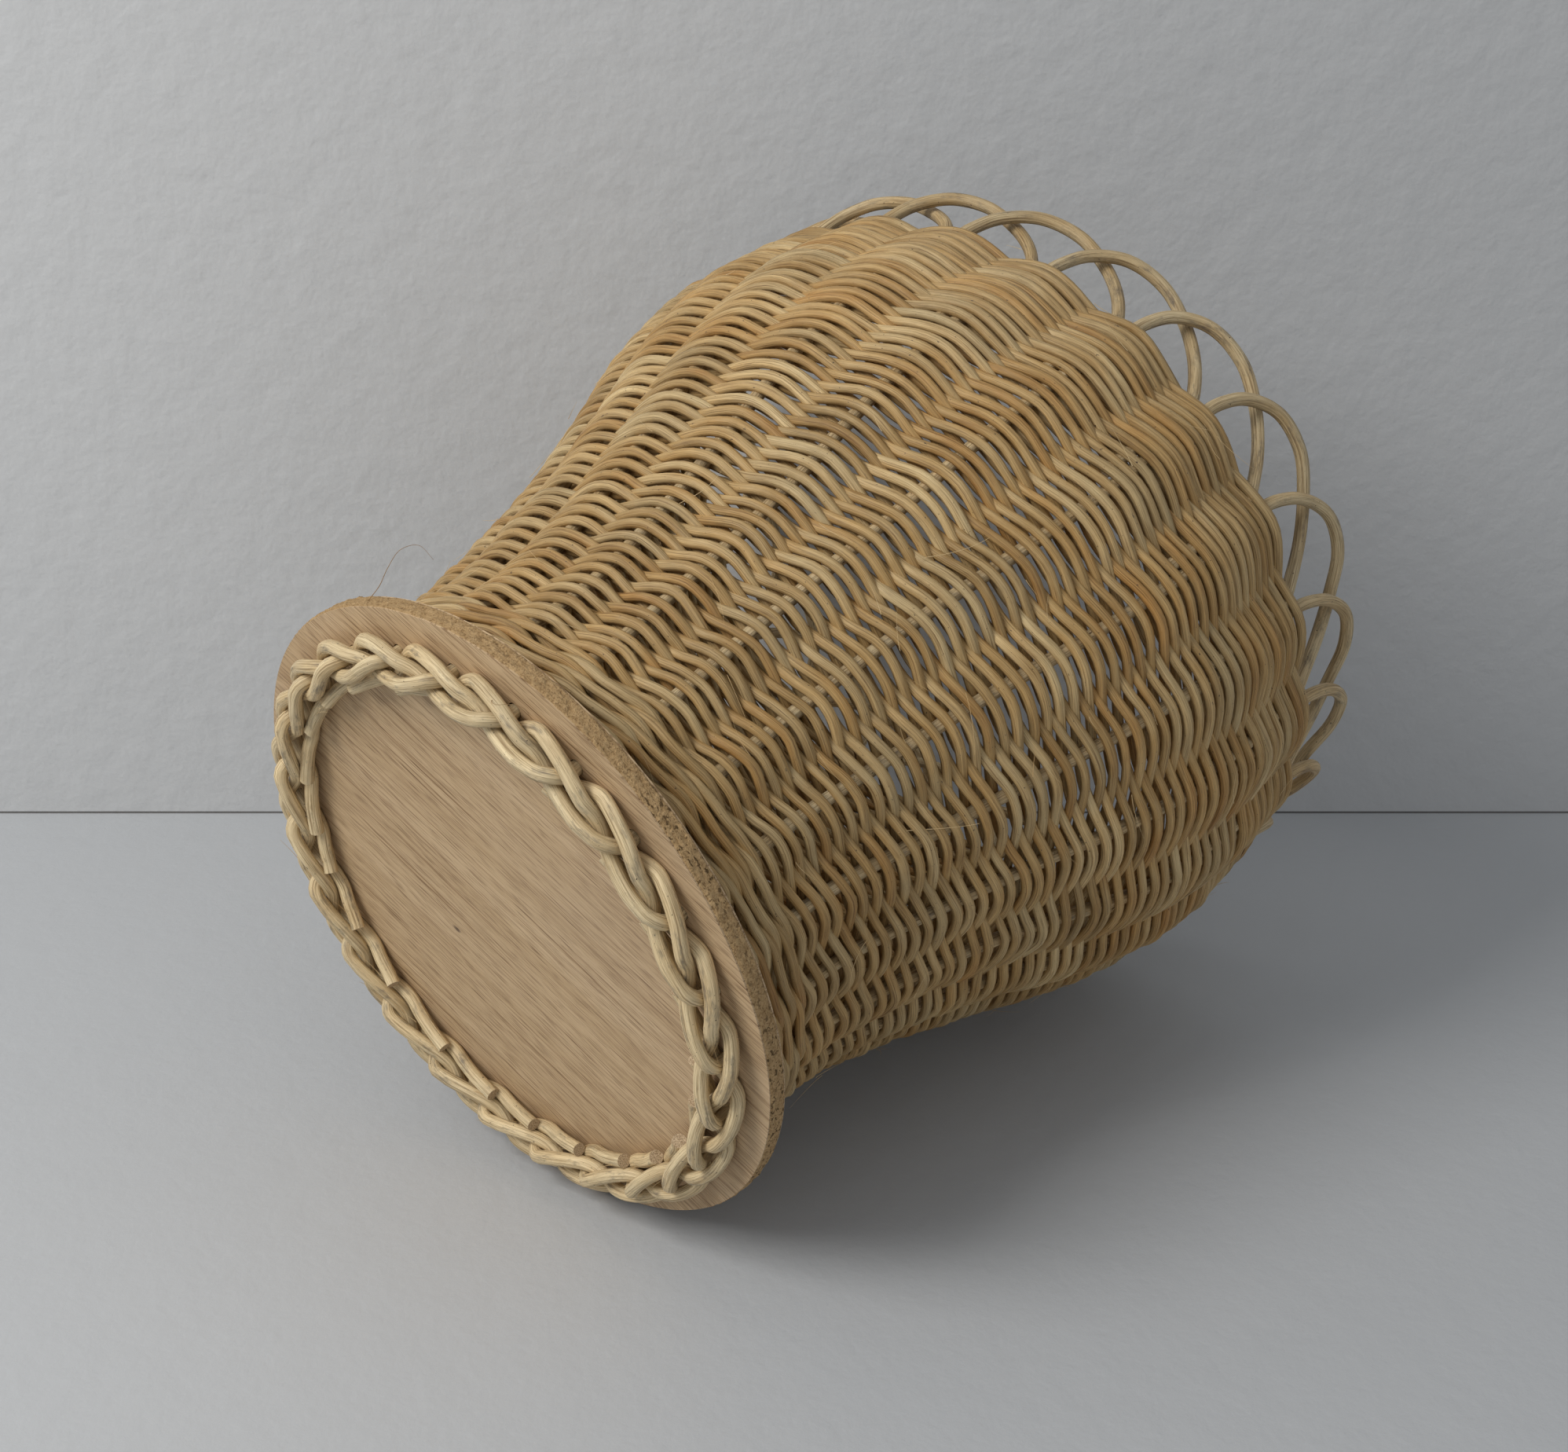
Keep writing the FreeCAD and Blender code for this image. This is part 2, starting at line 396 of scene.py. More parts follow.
def cane_material(name, straw, tan, orange, groove_depth, dirt):
    """Cane: long fibres, patches of tone along the rod, specks, and porous cut ends."""
    shader = Shader(name)
    grain = shader.node("ShaderNodeAttribute", attribute_name="grain").outputs["Vector"]
    tone = shader.node("ShaderNodeAttribute", attribute_name="tone").outputs["Vector"]
    parts = shader.node("ShaderNodeSeparateXYZ", {0: tone}).outputs
    tint, brightness, cut = parts["X"], parts["Y"], parts["Z"]
    patches = shader.noise(shader.scaled(grain, (45.0, 0.35, 0.35)), 1.0, 3.0)
    fibres = shader.noise(shader.scaled(grain, (45.0, 4.5, 4.5)), 1.0, 4.0, 0.62)
    fine = shader.noise(shader.scaled(grain, (170.0, 15.0, 15.0)), 1.0, 3.0, 0.6)
    hue = shader.math("ADD", tint, shader.levels(patches, 0.3, 0.7, -0.24, 0.24), clamp=True)
    colour = shader.ramp(hue, (0.0, straw), (1.0, orange), (0.5, tan))
    streaks = shader.ramp(shader.levels(fibres, 0.32, 0.68), (0.0, (0.38, 0.30, 0.21)),
                          (1.0, (1.20, 1.20, 1.18)), (0.42, (0.88, 0.85, 0.80)))
    colour = shader.mix("MULTIPLY", 0.85, colour, streaks)
    colour = shader.mix("MULTIPLY", 0.7, colour,
                        shader.ramp(shader.levels(fine, 0.36, 0.62), (0.0, (0.58, 0.50, 0.40)),
                                    (1.0, (1.14, 1.14, 1.14)), (0.3, (0.92, 0.90, 0.87))))
    level = shader.levels(brightness, 0.0, 1.0, 0.68, 1.32)
    lit = shader.node("ShaderNodeCombineXYZ", {0: level, 1: level, 2: level}).outputs[0]
    colour = shader.mix("MULTIPLY", 1.0, colour, lit)
    specks = shader.noise(shader.scaled(grain, (900.0, 2.2, 2.2)), 1.0, 2.0)
    colour = shader.mix("MIX", shader.levels(specks, 0.70, 0.76), colour, SPECK_COLOUR)
    smudges = shader.noise(shader.scaled(grain, (110.0, 0.8, 0.8)), 1.0, 4.0, 0.7)
    colour = shader.mix("MIX", shader.math("MULTIPLY", shader.levels(smudges, 0.54, 0.72), dirt),
                        colour, DIRT_COLOUR)
    pores = shader.noise(shader.scaled(grain, (1.0, 7.0, 7.0)), 1.0, 2.0)
    end_colour = shader.ramp(shader.levels(pores, 0.35, 0.65), (0.0, (0.30, 0.20, 0.11)),
                             (1.0, (0.72, 0.57, 0.38)))
    colour = shader.mix("MIX", cut, colour, end_colour)
    shader.feed(shader.surface.inputs["Base Color"], colour)
    shader.feed(shader.surface.inputs["Roughness"], shader.levels(fibres, 0.3, 0.7, 0.60, 0.42))
    shader.surface.inputs["Specular IOR Level"].default_value = 0.42
    rough = shader.bump(fibres, groove_depth)
    rough = shader.bump(fine, groove_depth * 0.4, under=rough)
    shader.feed(shader.surface.inputs["Normal"], rough)
    return shader.material


def face_veneer_material():
    """Straight-grained golden face ply with fine dark pore lines and a few dark marks."""
    shader = Shader("face_veneer")
    place = shader.node("ShaderNodeTexCoord").outputs["Object"]
    turn = shader.node("ShaderNodeVectorRotate", {"Vector": place, "Angle": -GRAIN_AZIMUTH},
                       rotation_type="Z_AXIS").outputs["Vector"]
    bands = shader.noise(shader.scaled(turn, (2.0, 60.0, 2.0)), 1.0, 4.0, 0.6)
    lines = shader.noise(shader.scaled(turn, (16.0, 1100.0, 16.0)), 1.0, 3.0, 0.6)
    pores = shader.noise(shader.scaled(turn, (110.0, 3000.0, 110.0)), 1.0, 2.0, 0.5)
    colour = shader.ramp(shader.levels(bands, 0.3, 0.7), (0.0, (0.46, 0.315, 0.172)),
                         (1.0, (0.60, 0.440, 0.268)), (0.5, (0.54, 0.385, 0.224)))
    colour = shader.mix("MULTIPLY", 0.8, colour,
                        shader.ramp(shader.levels(lines, 0.33, 0.60), (0.0, (0.50, 0.40, 0.31)),
                                    (1.0, (1.06, 1.06, 1.05)), (0.35, (0.95, 0.93, 0.91))))
    colour = shader.mix("MULTIPLY", 0.6, colour,
                        shader.ramp(shader.levels(pores, 0.36, 0.48), (0.0, (0.30, 0.21, 0.14)),
                                    (1.0, (1.04, 1.04, 1.04))))
    stains = shader.noise(place, 9.0, 3.0)
    colour = shader.mix("MIX", shader.levels(stains, 0.5, 0.75, 0.0, 0.25), colour, STAIN_COLOUR)
    marks = shader.noise(shader.scaled(turn, (55.0, 110.0, 55.0)), 1.0, 1.0)
    colour = shader.mix("MIX", shader.levels(marks, 0.80, 0.83), colour, VENEER_MARK_COLOUR)
    shader.feed(shader.surface.inputs["Base Color"], colour)
    shader.feed(shader.surface.inputs["Roughness"], shader.levels(lines, 0.3, 0.7, 0.66, 0.52))
    shader.surface.inputs["Specular IOR Level"].default_value = 0.3
    shader.feed(shader.surface.inputs["Normal"],
                shader.bump(pores, 0.00012, under=shader.bump(lines, 0.00015)))
    return shader.material


def core_material():
    """The coarse fibrous edge of the core: short fibres, open pores and pale crumbs."""
    shader = Shader("core_edge")
    place = shader.node("ShaderNodeTexCoord").outputs["Object"]
    coarse = shader.noise(shader.scaled(place, (1.0, 1.0, 1.5)), 520.0, 4.0, 0.68)
    fine = shader.noise(place, 1700.0, 3.0, 0.6)
    patches = shader.noise(place, 30.0, 3.0)
    colour = shader.ramp(shader.levels(coarse, 0.30, 0.68), (0.0, (0.30, 0.19, 0.085)),
                         (1.0, (0.52, 0.36, 0.19)), (0.36, (0.43, 0.285, 0.14)))
    colour = shader.mix("MULTIPLY", 0.75, colour,
                        shader.ramp(shader.levels(fine, 0.35, 0.6), (0.0, (0.50, 0.43, 0.35)),
                                    (1.0, (1.12, 1.12, 1.10)), (0.35, (0.90, 0.88, 0.85))))
    pits = shader.noise(shader.scaled(place, (1.0, 1.0, 1.6)), 640.0, 2.0, 0.5)
    worn = shader.levels(shader.noise(place, 16.0, 2.0), 0.36, 0.56)
    colour = shader.mix("MIX", shader.math("MULTIPLY", shader.levels(pits, 0.57, 0.63), worn),
                        colour, PIT_COLOUR)
    colour = shader.mix("MULTIPLY", 0.6, colour,
                        shader.ramp(shader.levels(patches, 0.3, 0.7), (0.0, (0.75, 0.72, 0.68)),
                                    (1.0, (1.15, 1.12, 1.08))))
    shader.feed(shader.surface.inputs["Base Color"], colour)
    shader.surface.inputs["Roughness"].default_value = 0.85
    shader.surface.inputs["Specular IOR Level"].default_value = 0.2
    shader.feed(shader.surface.inputs["Normal"],
                shader.bump(fine, 0.0003, under=shader.bump(coarse, 0.0007)))
    return shader.material


def stage_material(name, colour, mottle, lump_depth):
    """A plain painted or dusty surface that shows from its front only."""
    shader = Shader(name)
    place = shader.node("ShaderNodeTexCoord").outputs["Object"]
    broad = shader.noise(place, 3.0, 3.0)
    fine = shader.noise(place, 300.0, 3.0, 0.6)
    lumps = shader.noise(place, 80.0, 3.0, 0.55)
    dark = tuple(channel * (1 - mottle) for channel in colour)
    light = tuple(channel * (1 + mottle) for channel in colour)
    shader.feed(shader.surface.inputs["Base Color"],
                shader.ramp(shader.levels(broad, 0.3, 0.7), (0.0, dark), (1.0, light)))
    shader.surface.inputs["Roughness"].default_value = 0.7
    shader.surface.inputs["Specular IOR Level"].default_value = 0.25
    shader.feed(shader.surface.inputs["Normal"],
                shader.bump(fine, 0.0003, 0.5, under=shader.bump(lumps, lump_depth)))
    behind = shader.node("ShaderNodeNewGeometry").outputs["Backfacing"]
    clear = shader.node("ShaderNodeBsdfTransparent").outputs[0]
    both = shader.node("ShaderNodeMixShader", {0: behind, 1: shader.surface.outputs[0], 2: clear})
    shader.tree.links.new(both.outputs[0], shader.output.inputs["Surface"])
    return shader.material


WEAVER_CANE = cane_material("weaver_cane", (0.60, 0.460, 0.248), (0.505, 0.330, 0.135),
                            (0.44, 0.215, 0.052), 0.00018, 0.16)
STAKE_CANE = cane_material("stake_cane", (0.69, 0.565, 0.355), (0.57, 0.415, 0.215),
                           (0.48, 0.30, 0.13), 0.00026, 0.80)
FIBRE_CANE = cane_material("fibre_cane", (0.74, 0.60, 0.36), (0.58, 0.41, 0.20),
                           (0.36, 0.20, 0.08), 0.00002, 0.0)

# ---------------------------------------------------------------------------
# The woven wall


def row_height(rows):
    """Height above the disc after a number of rounds: rounds lie closer towards the rim."""
    share = np.asarray(rows, float) / ROW_COUNT
    return WEAVE_HEIGHT * (share + RIM_CROWDING * share * (1 - share))


def weave_strand(mesh, rng, first_row, rounds, throw, tint, brightness):
    """One weaver, wound up the wall from first_row. throw gives its offsets at an azimuth."""
    count = int(rounds * STAKE_COUNT * WEAVER_RINGS_PER_STAKE) + 1
    turned = np.linspace(0, rounds * 2 * math.pi, count)
    azimuth = SEAM_AZIMUTH + turned
    along = azimuth * HOLE_CIRCLE_RADIUS
    rows = first_row + 0.5 + turned / (2 * math.pi)
    height = row_height(rows)
    share = height / WEAVE_HEIGHT
    slim = BASE_SLIMNESS + (1 - BASE_SLIMNESS) * np.clip(share / BASE_SLIM_RISE, 0, 1)
    radii = (WEAVER_RADIUS * slim * rng.uniform(0.93, 1.05)
             * (1 + 0.07 * wander(rng, along, 0.23, 3)))
    out, up = throw(azimuth + 0.012 * wander(rng, along, 0.055, 2))
    sag = np.cos(STAKE_COUNT * azimuth - 0.25)
    sag_size = BASE_SAG + (RIM_SAG - BASE_SAG) * share**2
    slack = 1 + 0.10 * wander(rng, along, 0.07, 2)
    radius = (stake_circle_radius(height) + out * (STAKE_RADIUS + radii) * PRESS * slack
              + 0.00015 * wander(rng, along, 0.11))
    z = (DISC_TOP + height + up * ROW_SPACING / 4 + sag * sag_size
         + 0.00038 * wander(rng, along, 0.16) + 0.00032 * wander(rng, along, 0.037))
    z = np.maximum(z, DISC_TOP + radii)
    centres = settled(at_azimuth(radius, azimuth, z))
    mesh.add(centres, radii, tint + 0.14 * wander(rng, along, 0.4, 2),
             brightness + 0.10 * wander(rng, along, 0.13, 3), WEAVER_SIDES,
             turned=rng.uniform(0, 3), section=uneven_section(rng, along, WEAVER_SIDES, 0.06))


def twined(side):
    """Offsets of one of a pair of weavers: outside one stake, inside the next.

    Where the two cross, the upper one is the outer one.
    """
    def throw(azimuth):
        turn = azimuth / STAKE_STEP * math.pi + side * math.pi
        return (np.cos(turn) + 0.26 * np.sin(turn)) / 1.02, np.sin(turn)
    return throw


def waled(third):
    """Offsets of one of three canes: outside two stakes, inside the next."""
    def throw(azimuth):
        turn = (azimuth / (3 * STAKE_STEP) - third / 3 - 1 / 6) * 2 * math.pi
        return np.tanh(1.6 * np.cos(turn) + 0.25) / 0.95, 1.25 * np.sin(turn)
    return throw


def cane_tones(rng, band):
    """Tint and brightness of one weaver: the canes low in the wall are the most orange."""
    warm = math.exp(-((band - 2.4) / 1.3) ** 2)
    tint = rng.uniform(0.15, 0.56) + 0.50 * warm * rng.uniform(-0.2, 1.0)
    return min(max(tint, 0.05), 1.0), rng.uniform(0.25, 0.75) - 0.08 * warm


def make_wall():
    """The base wale, then the pairs of weavers up to the rim."""
    rng = np.random.default_rng(5)
    for band, node in enumerate(BAND_NODES):
        mesh = RodMesh()
        throws = [waled(0), waled(1), waled(2)] if band == 0 else [twined(0), twined(1)]
        for throw in throws:
            tint, brightness = cane_tones(rng, band)
            weave_strand(mesh, rng, band * ROWS_PER_BAND, ROWS_PER_BAND, throw, tint, brightness)
        keep_piece(mesh.build(node + "_cane", WEAVER_CANE), "weaver_cane", node)


# ---------------------------------------------------------------------------
# The stakes: foot border, wall and rim arch

RIM_ARCH_HEIGHT = 0.030
RIM_OFFSET = 0.0024
RIM_TUCK_STEP = 1.86
RIM_TUCK_LENGTH = 0.045
LOW_ARCH_LOSS = 0.20            # share of its height that an arch loses on the low side
CUT_SPREAD = 0.10               # how unevenly the ends are cut, in stake spacings
CUT_END_BACK = 3.9              # only a cut end lies further back from its hole

# Foot border, from the cut end: spacings back from the hole, radius, depth under the disc
FOOT_STATIONS = (
    (4.01, 0.0789, 0.0052),
    (3.72, 0.0795, 0.0043),
    (3.44, 0.0801, 0.0033),
    (3.20, 0.0807, 0.0022),
    (2.99, 0.0822, 0.0021),
    (2.82, 0.0847, 0.0021),
    (2.69, 0.0879, 0.0021),
    (2.54, 0.0904, 0.0021),
    (2.37, 0.0915, 0.0032),
    (2.17, 0.0917, 0.0044),
    (1.97, 0.0913, 0.0054),
    (1.78, 0.0903, 0.0063),
    (1.61, 0.0888, 0.0064),
    (1.45, 0.0869, 0.0052),
    (1.28, 0.0849, 0.0048),
    (1.10, 0.0832, 0.0058),
    (0.88, 0.0828, 0.0071),
    (0.64, 0.0833, 0.0083),
    (0.41, 0.0846, 0.0091),
    (0.22, 0.0864, 0.0091),
    (0.09, 0.0875, 0.0075),
    (0.00, 0.0870, 0.0045),
)

# Rim arch: spacings on from the stake, share of the arch height, share of the offset
RIM_STATIONS = (
    (0.02, 0.30, 0.45),
    (0.14, 0.64, 1.00),
    (0.42, 0.93, 1.00),
    (0.82, 1.01, 0.20),
    (1.20, 0.89, -0.90),
    (1.52, 0.62, -1.00),
    (1.76, 0.27, -0.60),
)


def stake_centres(rng, index):
    """The middle line of one stake, from its cut end under the disc to its tucked tip."""
    azimuth = index * STAKE_STEP
    _, cut, rise, lean, *_ = rng.normal(0, 1, 8)
    cut_back = CUT_SPREAD * float(np.clip(cut, -1.5, 1.5))
    foot = [at_azimuth(radius, azimuth - (back + cut_back * (back > CUT_END_BACK)) * STAKE_STEP,
                       DISC_UNDERSIDE - depth)
            for back, radius, depth in FOOT_STATIONS]
    heights = np.linspace(0, WEAVE_HEIGHT, 2 * BAND_COUNT + 1)
    wall = [at_azimuth(HOLE_CIRCLE_RADIUS, azimuth, DISC_UNDERSIDE + STAKE_RADIUS)]
    wall += list(settled(at_azimuth(stake_circle_radius(heights), azimuth, DISC_TOP + heights)))
    rim_radius = float(stake_circle_radius(WEAVE_HEIGHT))
    low_side = max(math.cos(azimuth + STAKE_STEP - LOW_RIM_AZIMUTH), 0) ** 2
    arch_height = RIM_ARCH_HEIGHT * (1 - LOW_ARCH_LOSS * low_side
                                     + 0.03 * float(np.clip(rise, -1.5, 0.8)))
    rim = [at_azimuth(rim_radius + share_out * RIM_OFFSET,
                      azimuth + (step + 0.04 * lean * math.sin(step * 1.7)) * STAKE_STEP,
                      WEAVE_TOP + share_up * arch_height)
           for step, share_up, share_out in RIM_STATIONS]
    tucked = np.linspace(WEAVE_HEIGHT, WEAVE_HEIGHT - RIM_TUCK_LENGTH, 5)
    tail = at_azimuth(stake_circle_radius(tucked), azimuth + RIM_TUCK_STEP * STAKE_STEP,
                      DISC_TOP + tucked)
    rim = list(settled(np.vstack(rim + list(tail))))
    return smooth_path(foot + wall + rim, STAKE_RING_SPACING)


def make_stakes():
    """Every stake, each in place of its CAD node, palest where it runs under the disc."""
    rng = np.random.default_rng(23)
    for index, node in enumerate(STAKE_NODES):
        mesh = RodMesh()
        centres = stake_centres(rng, index)
        along = np.arange(len(centres)) * STAKE_RING_SPACING
        in_foot = np.clip((DISC_UNDERSIDE - centres[:, 2]) / STAKE_RADIUS + 0.5, 0, 1)
        radii = STAKE_RADIUS + (FOOT_ROD_RADIUS - STAKE_RADIUS) * in_foot
        # Paler and lighter in the foot. Above the foot the stake is darker: partly dirt, and
        # partly painted shade where it lies recessed between the weavers.
        tint = rng.uniform(0.12, 0.5) * (1 - 0.8 * in_foot)
        brightness = rng.uniform(0.3, 0.62) + 0.22 * in_foot
        mesh.add(centres, radii * (1 + 0.03 * wander(rng, along, 0.09, 2)), tint, brightness,
                 STAKE_SIDES, turned=rng.uniform(0, 3),
                 section=uneven_section(rng, along, STAKE_SIDES, 0.035))
        keep_piece(mesh.build(node + "_cane", STAKE_CANE), "stake_cane", node)


# ---------------------------------------------------------------------------
# The base disc keeps its drilled CAD plies, with a rough worn edge round the core

EDGE_SEGMENTS = 1080
EDGE_ROWS = 13
EDGE_MARGIN = 0.00012           # face ply left bare at the top and bottom of the edge
EDGE_LEAST, EDGE_MOST = 0.00003, 0.0008         # how far the fibres stand out
EDGE_TUCK = 0.0004              # how far the first and last rows go into the disc


def paint_disc(core):
    """Wood on the three plies of the disc."""
    face = face_veneer_material()
    for node, material in (("base_bottom_veneer", face), ("base_top_veneer", face),
                           ("base_core", core)):
        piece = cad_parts[node]
        piece.data.materials.clear()
        piece.data.materials.append(material)


def make_disc_edge(core):
    """The torn fibres that stand out from the sawn edge of the core."""
    rng = np.random.default_rng(41)
    low, high = DISC_UNDERSIDE + EDGE_MARGIN, DISC_TOP - EDGE_MARGIN
    rough = rng.normal(0, 1, (EDGE_SEGMENTS, EDGE_ROWS))
    smooth = sum(np.roll(rough, shift, axis=0) for shift in (-2, -1, 0, 1, 2)) / 5
    smooth = (smooth + np.roll(smooth, 1, axis=1) + np.roll(smooth, -1, axis=1)) / 3
    azimuth = 2 * math.pi * np.arange(EDGE_SEGMENTS) / EDGE_SEGMENTS
    swell = wander(rng, azimuth * DISC_RADIUS, 2 * math.pi * DISC_RADIUS / 9, 5)
    across = np.linspace(-1, 1, EDGE_ROWS)
    stand_out = (0.00034 * (1 - across**6)[None, :] + 0.00007 * rough + 0.00030 * smooth
                 + 0.00010 * swell[:, None])
    stand_out = np.clip(stand_out, EDGE_LEAST, EDGE_MOST)
    stand_out[:, (0, -1)] = -EDGE_TUCK
    z = low + (high - low) * (across + 1) / 2
    places = at_azimuth(DISC_RADIUS + stand_out, azimuth[:, None], z).reshape(-1, 3)
    segment = np.arange(EDGE_SEGMENTS)[:, None]
    row = np.arange(EDGE_ROWS - 1)[None, :]
    first = segment * EDGE_ROWS + row
    after = (segment + 1) % EDGE_SEGMENTS * EDGE_ROWS + row
    faces = np.stack([first, after, after + 1, first + 1], axis=-1).reshape(-1, 4)
    mesh = bpy.data.meshes.new("core_edge_fibres")
    mesh.from_pydata([tuple(place) for place in places], [], [tuple(face) for face in faces])
    mesh.polygons.foreach_set("use_smooth", np.ones(len(faces), bool))
    mesh.materials.append(core)
    piece = bpy.data.objects.new("core_edge_fibres", mesh)
    bpy.context.scene.collection.objects.link(piece)
    keep_piece(piece, "ply_core")


# ---------------------------------------------------------------------------
# Loose fibres and hairs

WALL_FIBRE_COUNT = 150
FOOT_FIBRE_COUNT = 70
FIBRE_RADIUS = 0.00007
FIBRE_TIP_RADIUS = 0.00002
FOOT_STRAND_RADII = (0.0795, 0.0845, 0.0915)    # radii at which foot strands run round

# Two long hairs at the foot: azimuth in degrees, then radius and height at even turns
HAIR_TURN = math.radians(1.5)
LONG_HAIRS = (
    (204.0, ((0.1003, 0.0135), (0.1030, 0.0170), (0.1070, 0.0200),
             (0.1105, 0.0240), (0.1100, 0.0280), (0.1055, 0.0290))),
    (238.0, ((0.0925, 0.0060), (0.0945, 0.0035), (0.0960, 0.0030),
             (0.0968, 0.0050), (0.0955, 0.0075), (0.0930, 0.0080))),
)
# Hairs on the wall: azimuth in degrees, height above the disc, and rise from root to tip
WALL_HAIRS = ((262, 0.104, 0.015), (296, 0.062, 0.019), (312, 0.046, -0.013), (228, 0.074, 0.012))


def add_wall_fibres(mesh, rng):
    """Short fibres that have sprung off the weavers, all round the wall."""
    steps = np.linspace(0, 1, 7)
    for _ in range(WALL_FIBRE_COUNT):
        azimuth = rng.uniform(0, 2 * math.pi)
        height = WEAVE_HEIGHT * rng.uniform(0.02, 1.0)
        radius = float(stake_circle_radius(height)) + STAKE_RADIUS + 1.6 * WEAVER_RADIUS
        length = rng.uniform(0.004, 0.016)
        way = rng.choice((-1, 1)) * length
        lift = rng.uniform(0.0006, 0.0040)
        slope = rng.uniform(-0.5, 0.5)
        curl = rng.uniform(-0.35, 0.35)
        centres = at_azimuth(radius + lift * steps**1.6,
                             azimuth + way * steps / radius,
                             DISC_TOP + height + length * (slope * steps + curl * steps**2))
        mesh.add(centres, FIBRE_RADIUS * (1.15 - steps) + FIBRE_TIP_RADIUS,
                 rng.uniform(0, 0.6), rng.uniform(0.5, 1.0), 3)


def add_hairs(mesh):
    """The long hairs at the foot, and the curved ones that stand off the wall."""
    for start, marks in LONG_HAIRS:
        azimuths = math.radians(start) + HAIR_TURN * np.arange(len(marks))
        radii, heights = np.array(marks).T
        centres = smooth_path(at_azimuth(radii, azimuths, heights), 0.0007)
        mesh.add(centres, np.linspace(0.00011, 0.00005, len(centres)), 0.9, 0.25, 4)
    steps = np.linspace(0, 1, 16)
    for start, height, rise in WALL_HAIRS:
        heights = height + rise * steps**0.8
        radii = stake_circle_radius(heights) + 0.0030 + 0.0055 * steps**1.6
        centres = at_azimuth(radii, np.radians(start + 7 * steps - 3 * steps**2),
                             DISC_TOP + heights)
        mesh.add(centres, 0.00010 - 0.00005 * steps, 0.3, 0.8, 4)


def add_foot_fibres(mesh, rng):
    """Short fibres that have sprung off the strands of the foot border."""
    steps = np.linspace(0, 1, 7)
    for _ in range(FOOT_FIBRE_COUNT):
        azimuth = rng.uniform(0, 2 * math.pi)
        length = rng.uniform(0.003, 0.011)
        drop = rng.uniform(0.0005, 0.0030)
        start = rng.choice(FOOT_STRAND_RADII)
        stray = rng.uniform(-0.6, 0.6) * length
        depth = rng.uniform(0.0045, 0.0075)
        centres = at_azimuth(start + stray * steps**1.4, azimuth + length * steps / start,
                             DISC_UNDERSIDE - depth - drop * steps**1.5)
        mesh.add(centres, 0.00008 * (1.15 - steps) + FIBRE_TIP_RADIUS,
                 rng.uniform(0, 0.5), rng.uniform(0.4, 0.9), 3)


def make_fibres():
    """Hair-thin fibres that have sprung off the canes of the wall and the foot."""
    rng = np.random.default_rng(71)
    wall_mesh = RodMesh()
    add_wall_fibres(wall_mesh, rng)
    add_hairs(wall_mesh)
    keep_piece(wall_mesh.build("wall_fibres", FIBRE_CANE), "weaver_cane")
    foot_mesh = RodMesh()
    add_foot_fibres(foot_mesh, rng)
    keep_piece(foot_mesh.build("foot_fibres", FIBRE_CANE), "weaver_cane")


# ---------------------------------------------------------------------------
# Camera, stage and light

CAMERA_PLACE = Vector((-0.0145, -0.5692, -0.2658))
CAMERA_TARGET = Vector((0.0011, -0.0594, 0.0867))
CAMERA_ROLL = math.radians(53.3)
CAMERA_LENS, SENSOR_WIDTH = 50.8, 36.0  # in millimetres
FLOOR_PITCH = math.radians(24.0)        # how far the camera looks down at the floor
WALL_CLEARANCE = 0.001                  # between the rim and the wall
STAGE_SIZE = 2.0
JOINT_HEIGHT, JOINT_DEPTH = 0.0009, 0.0004      # the dirty joint of floor and wall

WINDOW_SIZE, WINDOW_POWER, WINDOW_COLOUR = 0.6, 11.0, (1.0, 0.98, 0.95)
FILL_SIZE, FILL_POWER, FILL_COLOUR = 1.2, 3.0, (0.95, 0.97, 1.0)
ROOM_COLOUR, ROOM_STRENGTH = (0.93, 0.96, 1.0, 1), 0.42
WINDOW_LEFT, WINDOW_UP, WINDOW_BACK = 0.84, 0.64, 0.62      # from the middle of the basket
FILL_AHEAD, FILL_UP = 1.0, 0.3


def make_camera():
    """The camera, looking at the underside and flank. Returns its right, up and forward."""
    data = bpy.data.cameras.new("camera")
    data.lens = CAMERA_LENS
    data.sensor_width = SENSOR_WIDTH
    data.clip_start = 0.01
    camera = bpy.data.objects.new("camera", data)
    bpy.context.scene.collection.objects.link(camera)
    aim = (CAMERA_TARGET - CAMERA_PLACE).to_track_quat("-Z", "Y").to_matrix()
    turn = aim @ Matrix.Rotation(CAMERA_ROLL, 3, "Z")
    camera.matrix_world = Matrix.Translation(CAMERA_PLACE) @ turn.to_4x4()
    bpy.context.scene.camera = camera
    return turn.col[0].copy(), turn.col[1].copy(), -turn.col[2].copy()


def make_plane(name, centre, across, along, size, material, reach=None):
    """A stage plane that faces across x along, square unless its reach along is given."""
    reach = reach or size
    corners = [centre + across * (size * x) + along * (reach * y)
               for x, y in ((-1, -1), (1, -1), (1, 1), (-1, 1))]
    mesh = bpy.data.meshes.new(name)
    mesh.from_pydata(corners, [], [(0, 1, 2, 3)])
    mesh.materials.append(material)
    plane = bpy.data.objects.new(name, mesh)
    bpy.context.scene.collection.objects.link(plane)
    plane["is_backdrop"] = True


def lowest_along(direction):
    """The lowest coordinate of the object along a direction."""
    least = math.inf
    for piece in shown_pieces():
        places = np.zeros(len(piece.data.vertices) * 3, np.float32)
        piece.data.vertices.foreach_get("co", places)
        least = min(least, float((places.reshape(-1, 3) @ np.array(direction)).min()))
    return least


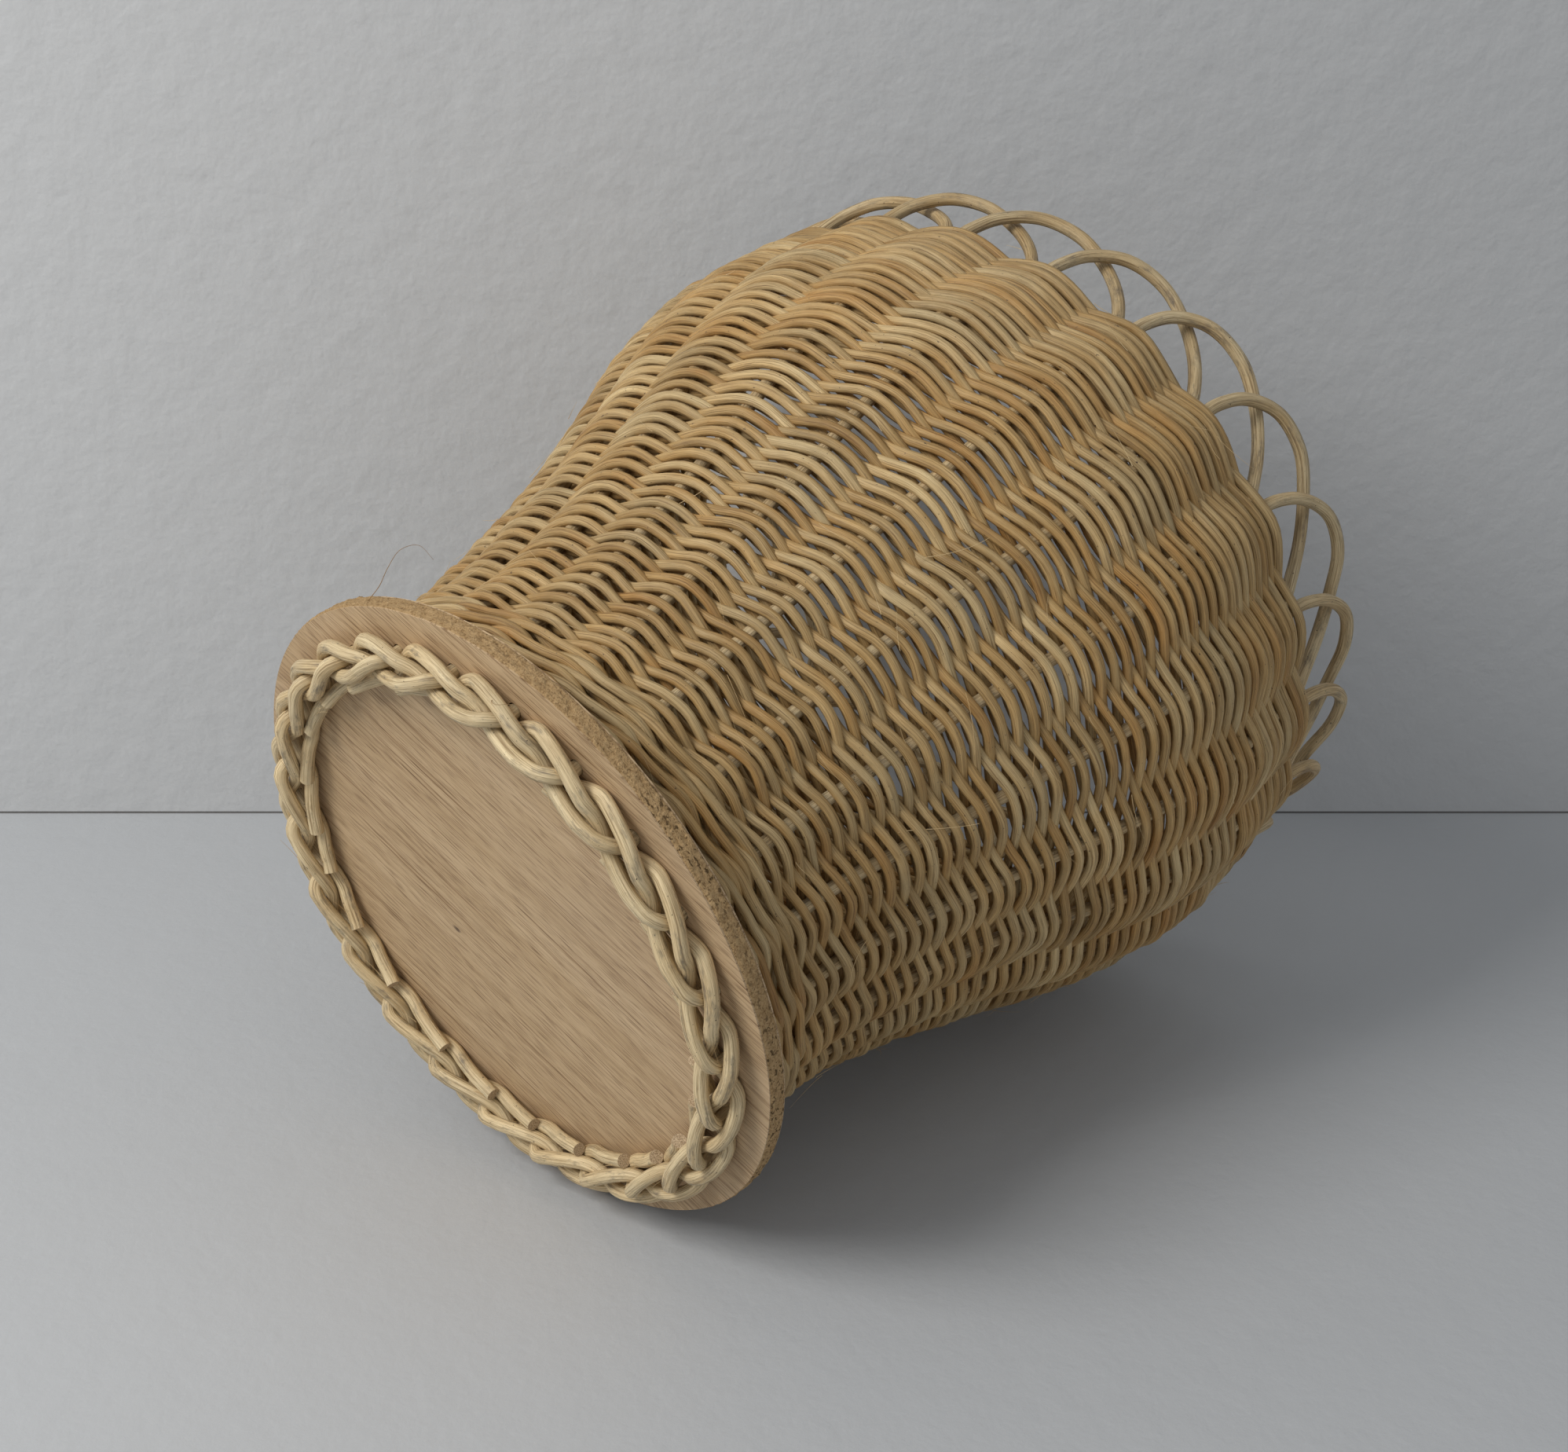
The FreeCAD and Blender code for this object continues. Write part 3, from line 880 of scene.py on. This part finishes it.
def make_stage(right, up, forward):
    """The floor that the basket lies on, and the wall behind it."""
    floor_up = up * math.cos(FLOOR_PITCH) - forward * math.sin(FLOOR_PITCH)
    away = forward * math.cos(FLOOR_PITCH) + up * math.sin(FLOOR_PITCH)
    camera_height = CAMERA_PLACE.dot(floor_up) - lowest_along(floor_up)
    wall_distance = WALL_CLEARANCE - lowest_along(-away) - CAMERA_PLACE.dot(away)
    under_camera = CAMERA_PLACE - floor_up * camera_height
    wall_foot = under_camera + away * wall_distance
    floor_middle = under_camera + away * (wall_distance - STAGE_SIZE)
    make_plane("floor", floor_middle, right, away, STAGE_SIZE,
               stage_material("floor_paint", (0.510, 0.525, 0.540), 0.02, 0.0004))
    make_plane("wall", wall_foot + floor_up * STAGE_SIZE, right, floor_up, STAGE_SIZE,
               stage_material("wall_paint", (0.575, 0.583, 0.588), 0.03, 0.0009))
    joint_middle = under_camera + away * (wall_distance - JOINT_DEPTH)
    make_plane("joint", joint_middle, right, floor_up, STAGE_SIZE,
               stage_material("joint_dirt", (0.16, 0.155, 0.15), 0.3, 0.0008), JOINT_HEIGHT)
    return floor_up


def add_light(name, place, target, size, power, colour):
    """A square area light at a place, aimed at a target."""
    data = bpy.data.lights.new(name, "AREA")
    data.shape = "SQUARE"
    data.size = size
    data.energy = power
    data.color = colour
    light = bpy.data.objects.new(name, data)
    light.location = place
    light.rotation_mode = "QUATERNION"
    light.rotation_quaternion = (target - place).to_track_quat("-Z", "Y")
    bpy.context.scene.collection.objects.link(light)


def make_light(right, up, forward, floor_up):
    """Soft window light from the upper left, a weak fill from behind, and a pale room."""
    middle = Vector((0, 0, (CAD_LOW.z + CAD_HIGH.z) / 2))
    window_place = middle - right * WINDOW_LEFT + floor_up * WINDOW_UP - forward * WINDOW_BACK
    add_light("window", window_place, middle, WINDOW_SIZE, WINDOW_POWER, WINDOW_COLOUR)
    fill_place = middle + forward * FILL_AHEAD + floor_up * FILL_UP
    add_light("back_fill", fill_place, middle, FILL_SIZE, FILL_POWER, FILL_COLOUR)
    world = bpy.data.worlds.new("room")
    world.use_nodes = True
    background = world.node_tree.nodes["Background"]
    background.inputs["Color"].default_value = ROOM_COLOUR
    background.inputs["Strength"].default_value = ROOM_STRENGTH
    bpy.context.scene.world = world
    bpy.context.scene.view_settings.view_transform = "Standard"


# ---------------------------------------------------------------------------

make_wall()
make_stakes()
core_wood = core_material()
paint_disc(core_wood)
make_disc_edge(core_wood)
make_fibres()
camera_right, camera_up, camera_forward = make_camera()
floor_normal = make_stage(camera_right, camera_up, camera_forward)
make_light(camera_right, camera_up, camera_forward, floor_normal)
